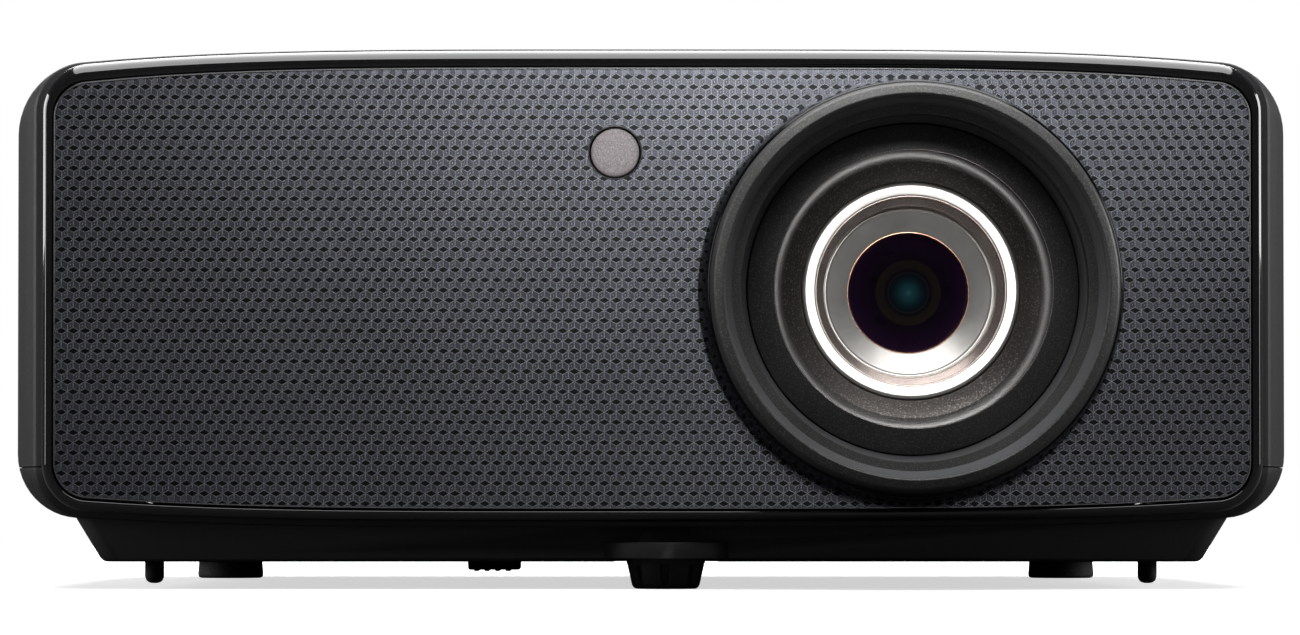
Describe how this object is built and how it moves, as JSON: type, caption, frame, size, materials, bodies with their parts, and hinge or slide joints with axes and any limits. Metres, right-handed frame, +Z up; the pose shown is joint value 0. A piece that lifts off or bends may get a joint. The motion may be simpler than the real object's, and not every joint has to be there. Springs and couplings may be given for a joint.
{
  "type": "home projector",
  "caption": "Wide, low laser home projector: stepped zoom lens off-centre in a patterned front panel, glossy bezel, bulged side covers, keypad, rear sockets, screw feet",
  "frame": {"origin": "on the table, under the middle of the object's bounding box", "axes": "+X to the right seen from the front, +Y towards the back, +Z up; the lens faces -Y"},
  "size_m": [0.337, 0.287, 0.139],
  "materials": {
    "grain_black": "fine leather grain, matte black",
    "gloss_black": "piano black",
    "satin_black": "satin, finely textured",
    "pattern_grey": "satin with a fine raised cube pattern",
    "window_mauve": "fine speckled, infrared clear",
    "satin_silver": "satin silver",
    "coated_glass": "violet and green anti-reflection coating",
    "bare_aluminium": "bare extruded",
    "cast_aluminium": "die cast",
    "zinc_steel": "zinc plated",
    "board_green": "solder-masked circuit board",
    "fan_grey": "moulded dark grey",
    "phosphor_coat": "yellow phosphor on aluminium",
    "rubber_black": "matte rubber",
    "socket_black": "moulded black",
    "speaker_paper": "doped paper cone"
  },
  "bodies": {
    "chassis": {"top_cover": "grain_black", "bottom_case": "grain_black", "front_bezel": "gloss_black", "front_panel": "pattern_grey", "ir_window": "window_mauve", "intake_grille": "satin_black", "exhaust_grille": "satin_black", "rear_panel": "satin_black", "case_screw_1": "zinc_steel", "case_screw_2": "zinc_steel", "case_screw_3": "zinc_steel", "case_screw_4": "zinc_steel", "lens_hood": "satin_black", "lens_body": "cast_aluminium", "rear_glass": "coated_glass", "base_plate": "zinc_steel", "engine_housing": "cast_aluminium", "mirror_chip_board": "board_green", "mirror_chip_heat_sink": "bare_aluminium", "laser_module": "cast_aluminium", "laser_heat_sink": "bare_aluminium", "wheel_motor": "bare_aluminium", "intake_fan_frame": "fan_grey", "exhaust_fan_frame": "fan_grey", "main_board": "board_green", "power_supply": "board_green", "speaker_left": "speaker_paper", "speaker_right": "speaker_paper", "hdmi_port_1": "zinc_steel", "hdmi_port_2": "zinc_steel", "usb_port": "zinc_steel", "network_port": "zinc_steel", "audio_port": "socket_black", "power_inlet": "socket_black", "keypad_frame": "gloss_black", "tip_post_left": "rubber_black", "tip_post_right": "rubber_black", "rear_stop": "rubber_black"},
    "zoom_control": {"zoom_ring": "gloss_black"},
    "zoom_group": {"zoom_cell": "satin_black", "zoom_glass": "coated_glass"},
    "focus_control": {"focus_ring": "satin_black"},
    "focus_group": {"front_barrel": "satin_silver", "front_glass": "coated_glass"},
    "phosphor_disc": {"phosphor_wheel": "phosphor_coat"},
    "intake_rotor": {"intake_fan_rotor": "fan_grey"},
    "exhaust_rotor": {"exhaust_fan_rotor": "fan_grey"},
    "power_key": {"power_button": "satin_black"},
    "menu_key": {"menu_button": "satin_black"},
    "enter_key": {"enter_button": "satin_black"},
    "up_key": {"up_button": "satin_black"},
    "down_key": {"down_button": "satin_black"},
    "left_key": {"left_button": "satin_black"},
    "right_key": {"right_button": "satin_black"},
    "front_stud": {"front_foot_stud": "zinc_steel"},
    "front_cap": {"front_foot_cap": "satin_black"},
    "rear_left_stud": {"rear_foot_left_stud": "zinc_steel"},
    "rear_left_pad": {"rear_foot_left_pad": "rubber_black"},
    "rear_right_stud": {"rear_foot_right_stud": "zinc_steel"},
    "rear_right_pad": {"rear_foot_right_pad": "rubber_black"}
  },
  "joints": [
    {"name": "zoom_ring_turn", "type": "hinge", "parent": "chassis", "child": "zoom_control", "pos_m": [0.0661, -0.1285, 0.0764], "axis": [0, -1, 0], "range_deg": [-30, 30]},
    {"name": "zoom_group_slide", "type": "slide", "parent": "chassis", "child": "zoom_group", "axis": [0, -1, 0], "range_m": [-0.004, 0.004]},
    {"name": "focus_ring_turn", "type": "hinge", "parent": "chassis", "child": "focus_control", "pos_m": [0.0661, -0.1385, 0.0764], "axis": [0, -1, 0], "range_deg": [-60, 60]},
    {"name": "focus_group_slide", "type": "slide", "parent": "chassis", "child": "focus_group", "axis": [0, -1, 0], "range_m": [-0.002, 0.002]},
    {"name": "phosphor_wheel_spin", "type": "hinge", "parent": "chassis", "child": "phosphor_disc", "pos_m": [0.0105, -0.0225, 0.054], "axis": [1, 0, 0], "continuous": true},
    {"name": "intake_fan_spin", "type": "hinge", "parent": "chassis", "child": "intake_rotor", "pos_m": [-0.151, 0.004, 0.077], "axis": [1, 0, 0], "continuous": true},
    {"name": "exhaust_fan_spin", "type": "hinge", "parent": "chassis", "child": "exhaust_rotor", "pos_m": [0.151, 0.004, 0.077], "axis": [1, 0, 0], "continuous": true},
    {"name": "power_button_press", "type": "slide", "parent": "chassis", "child": "power_key", "axis": [0, 0, -1], "range_m": [0, 0.0008], "stiffness_N_per_m": 1000, "springref_m": -0.0004},
    {"name": "menu_button_press", "type": "slide", "parent": "chassis", "child": "menu_key", "axis": [0, 0, -1], "range_m": [0, 0.0008], "stiffness_N_per_m": 1000, "springref_m": -0.0004},
    {"name": "enter_button_press", "type": "slide", "parent": "chassis", "child": "enter_key", "axis": [0, 0, -1], "range_m": [0, 0.0008], "stiffness_N_per_m": 1000, "springref_m": -0.0004},
    {"name": "up_button_press", "type": "slide", "parent": "chassis", "child": "up_key", "axis": [0, 0, -1], "range_m": [0, 0.0008], "stiffness_N_per_m": 1000, "springref_m": -0.0004},
    {"name": "down_button_press", "type": "slide", "parent": "chassis", "child": "down_key", "axis": [0, 0, -1], "range_m": [0, 0.0008], "stiffness_N_per_m": 1000, "springref_m": -0.0004},
    {"name": "left_button_press", "type": "slide", "parent": "chassis", "child": "left_key", "axis": [0, 0, -1], "range_m": [0, 0.0008], "stiffness_N_per_m": 1000, "springref_m": -0.0004},
    {"name": "right_button_press", "type": "slide", "parent": "chassis", "child": "right_key", "axis": [0, 0, -1], "range_m": [0, 0.0008], "stiffness_N_per_m": 1000, "springref_m": -0.0004},
    {"name": "front_foot_extend", "type": "slide", "parent": "chassis", "child": "front_stud", "axis": [0, 0, -1], "range_m": [0, 0.01]},
    {"name": "front_foot_turn", "type": "hinge", "parent": "front_stud", "child": "front_cap", "pos_m": [0.0037, -0.099, 0.004], "axis": [0, 0, -1], "range_deg": [0, 1800]},
    {"name": "rear_foot_left_extend", "type": "slide", "parent": "chassis", "child": "rear_left_stud", "axis": [0, 0, -1], "range_m": [0, 0.004]},
    {"name": "rear_foot_left_turn", "type": "hinge", "parent": "rear_left_stud", "child": "rear_left_pad", "pos_m": [-0.125, 0.0965, 0.003], "axis": [0, 0, -1], "range_deg": [0, 1440]},
    {"name": "rear_foot_right_extend", "type": "slide", "parent": "chassis", "child": "rear_right_stud", "axis": [0, 0, -1], "range_m": [0, 0.004]},
    {"name": "rear_foot_right_turn", "type": "hinge", "parent": "rear_right_stud", "child": "rear_right_pad", "pos_m": [0.125, 0.0965, 0.003], "axis": [0, 0, -1], "range_deg": [0, 1440]}
  ],
  "couplings": [
    {"joint": "zoom_group_slide", "follows": "zoom_ring_turn", "m_per_rad": 0.0076},
    {"joint": "focus_group_slide", "follows": "focus_ring_turn", "m_per_rad": 0.0019},
    {"joint": "front_foot_turn", "follows": "front_foot_extend", "rad_per_m": 3141.5},
    {"joint": "rear_foot_left_turn", "follows": "rear_foot_left_extend", "rad_per_m": 6283},
    {"joint": "rear_foot_right_turn", "follows": "rear_foot_right_extend", "rad_per_m": 6283}
  ]
}
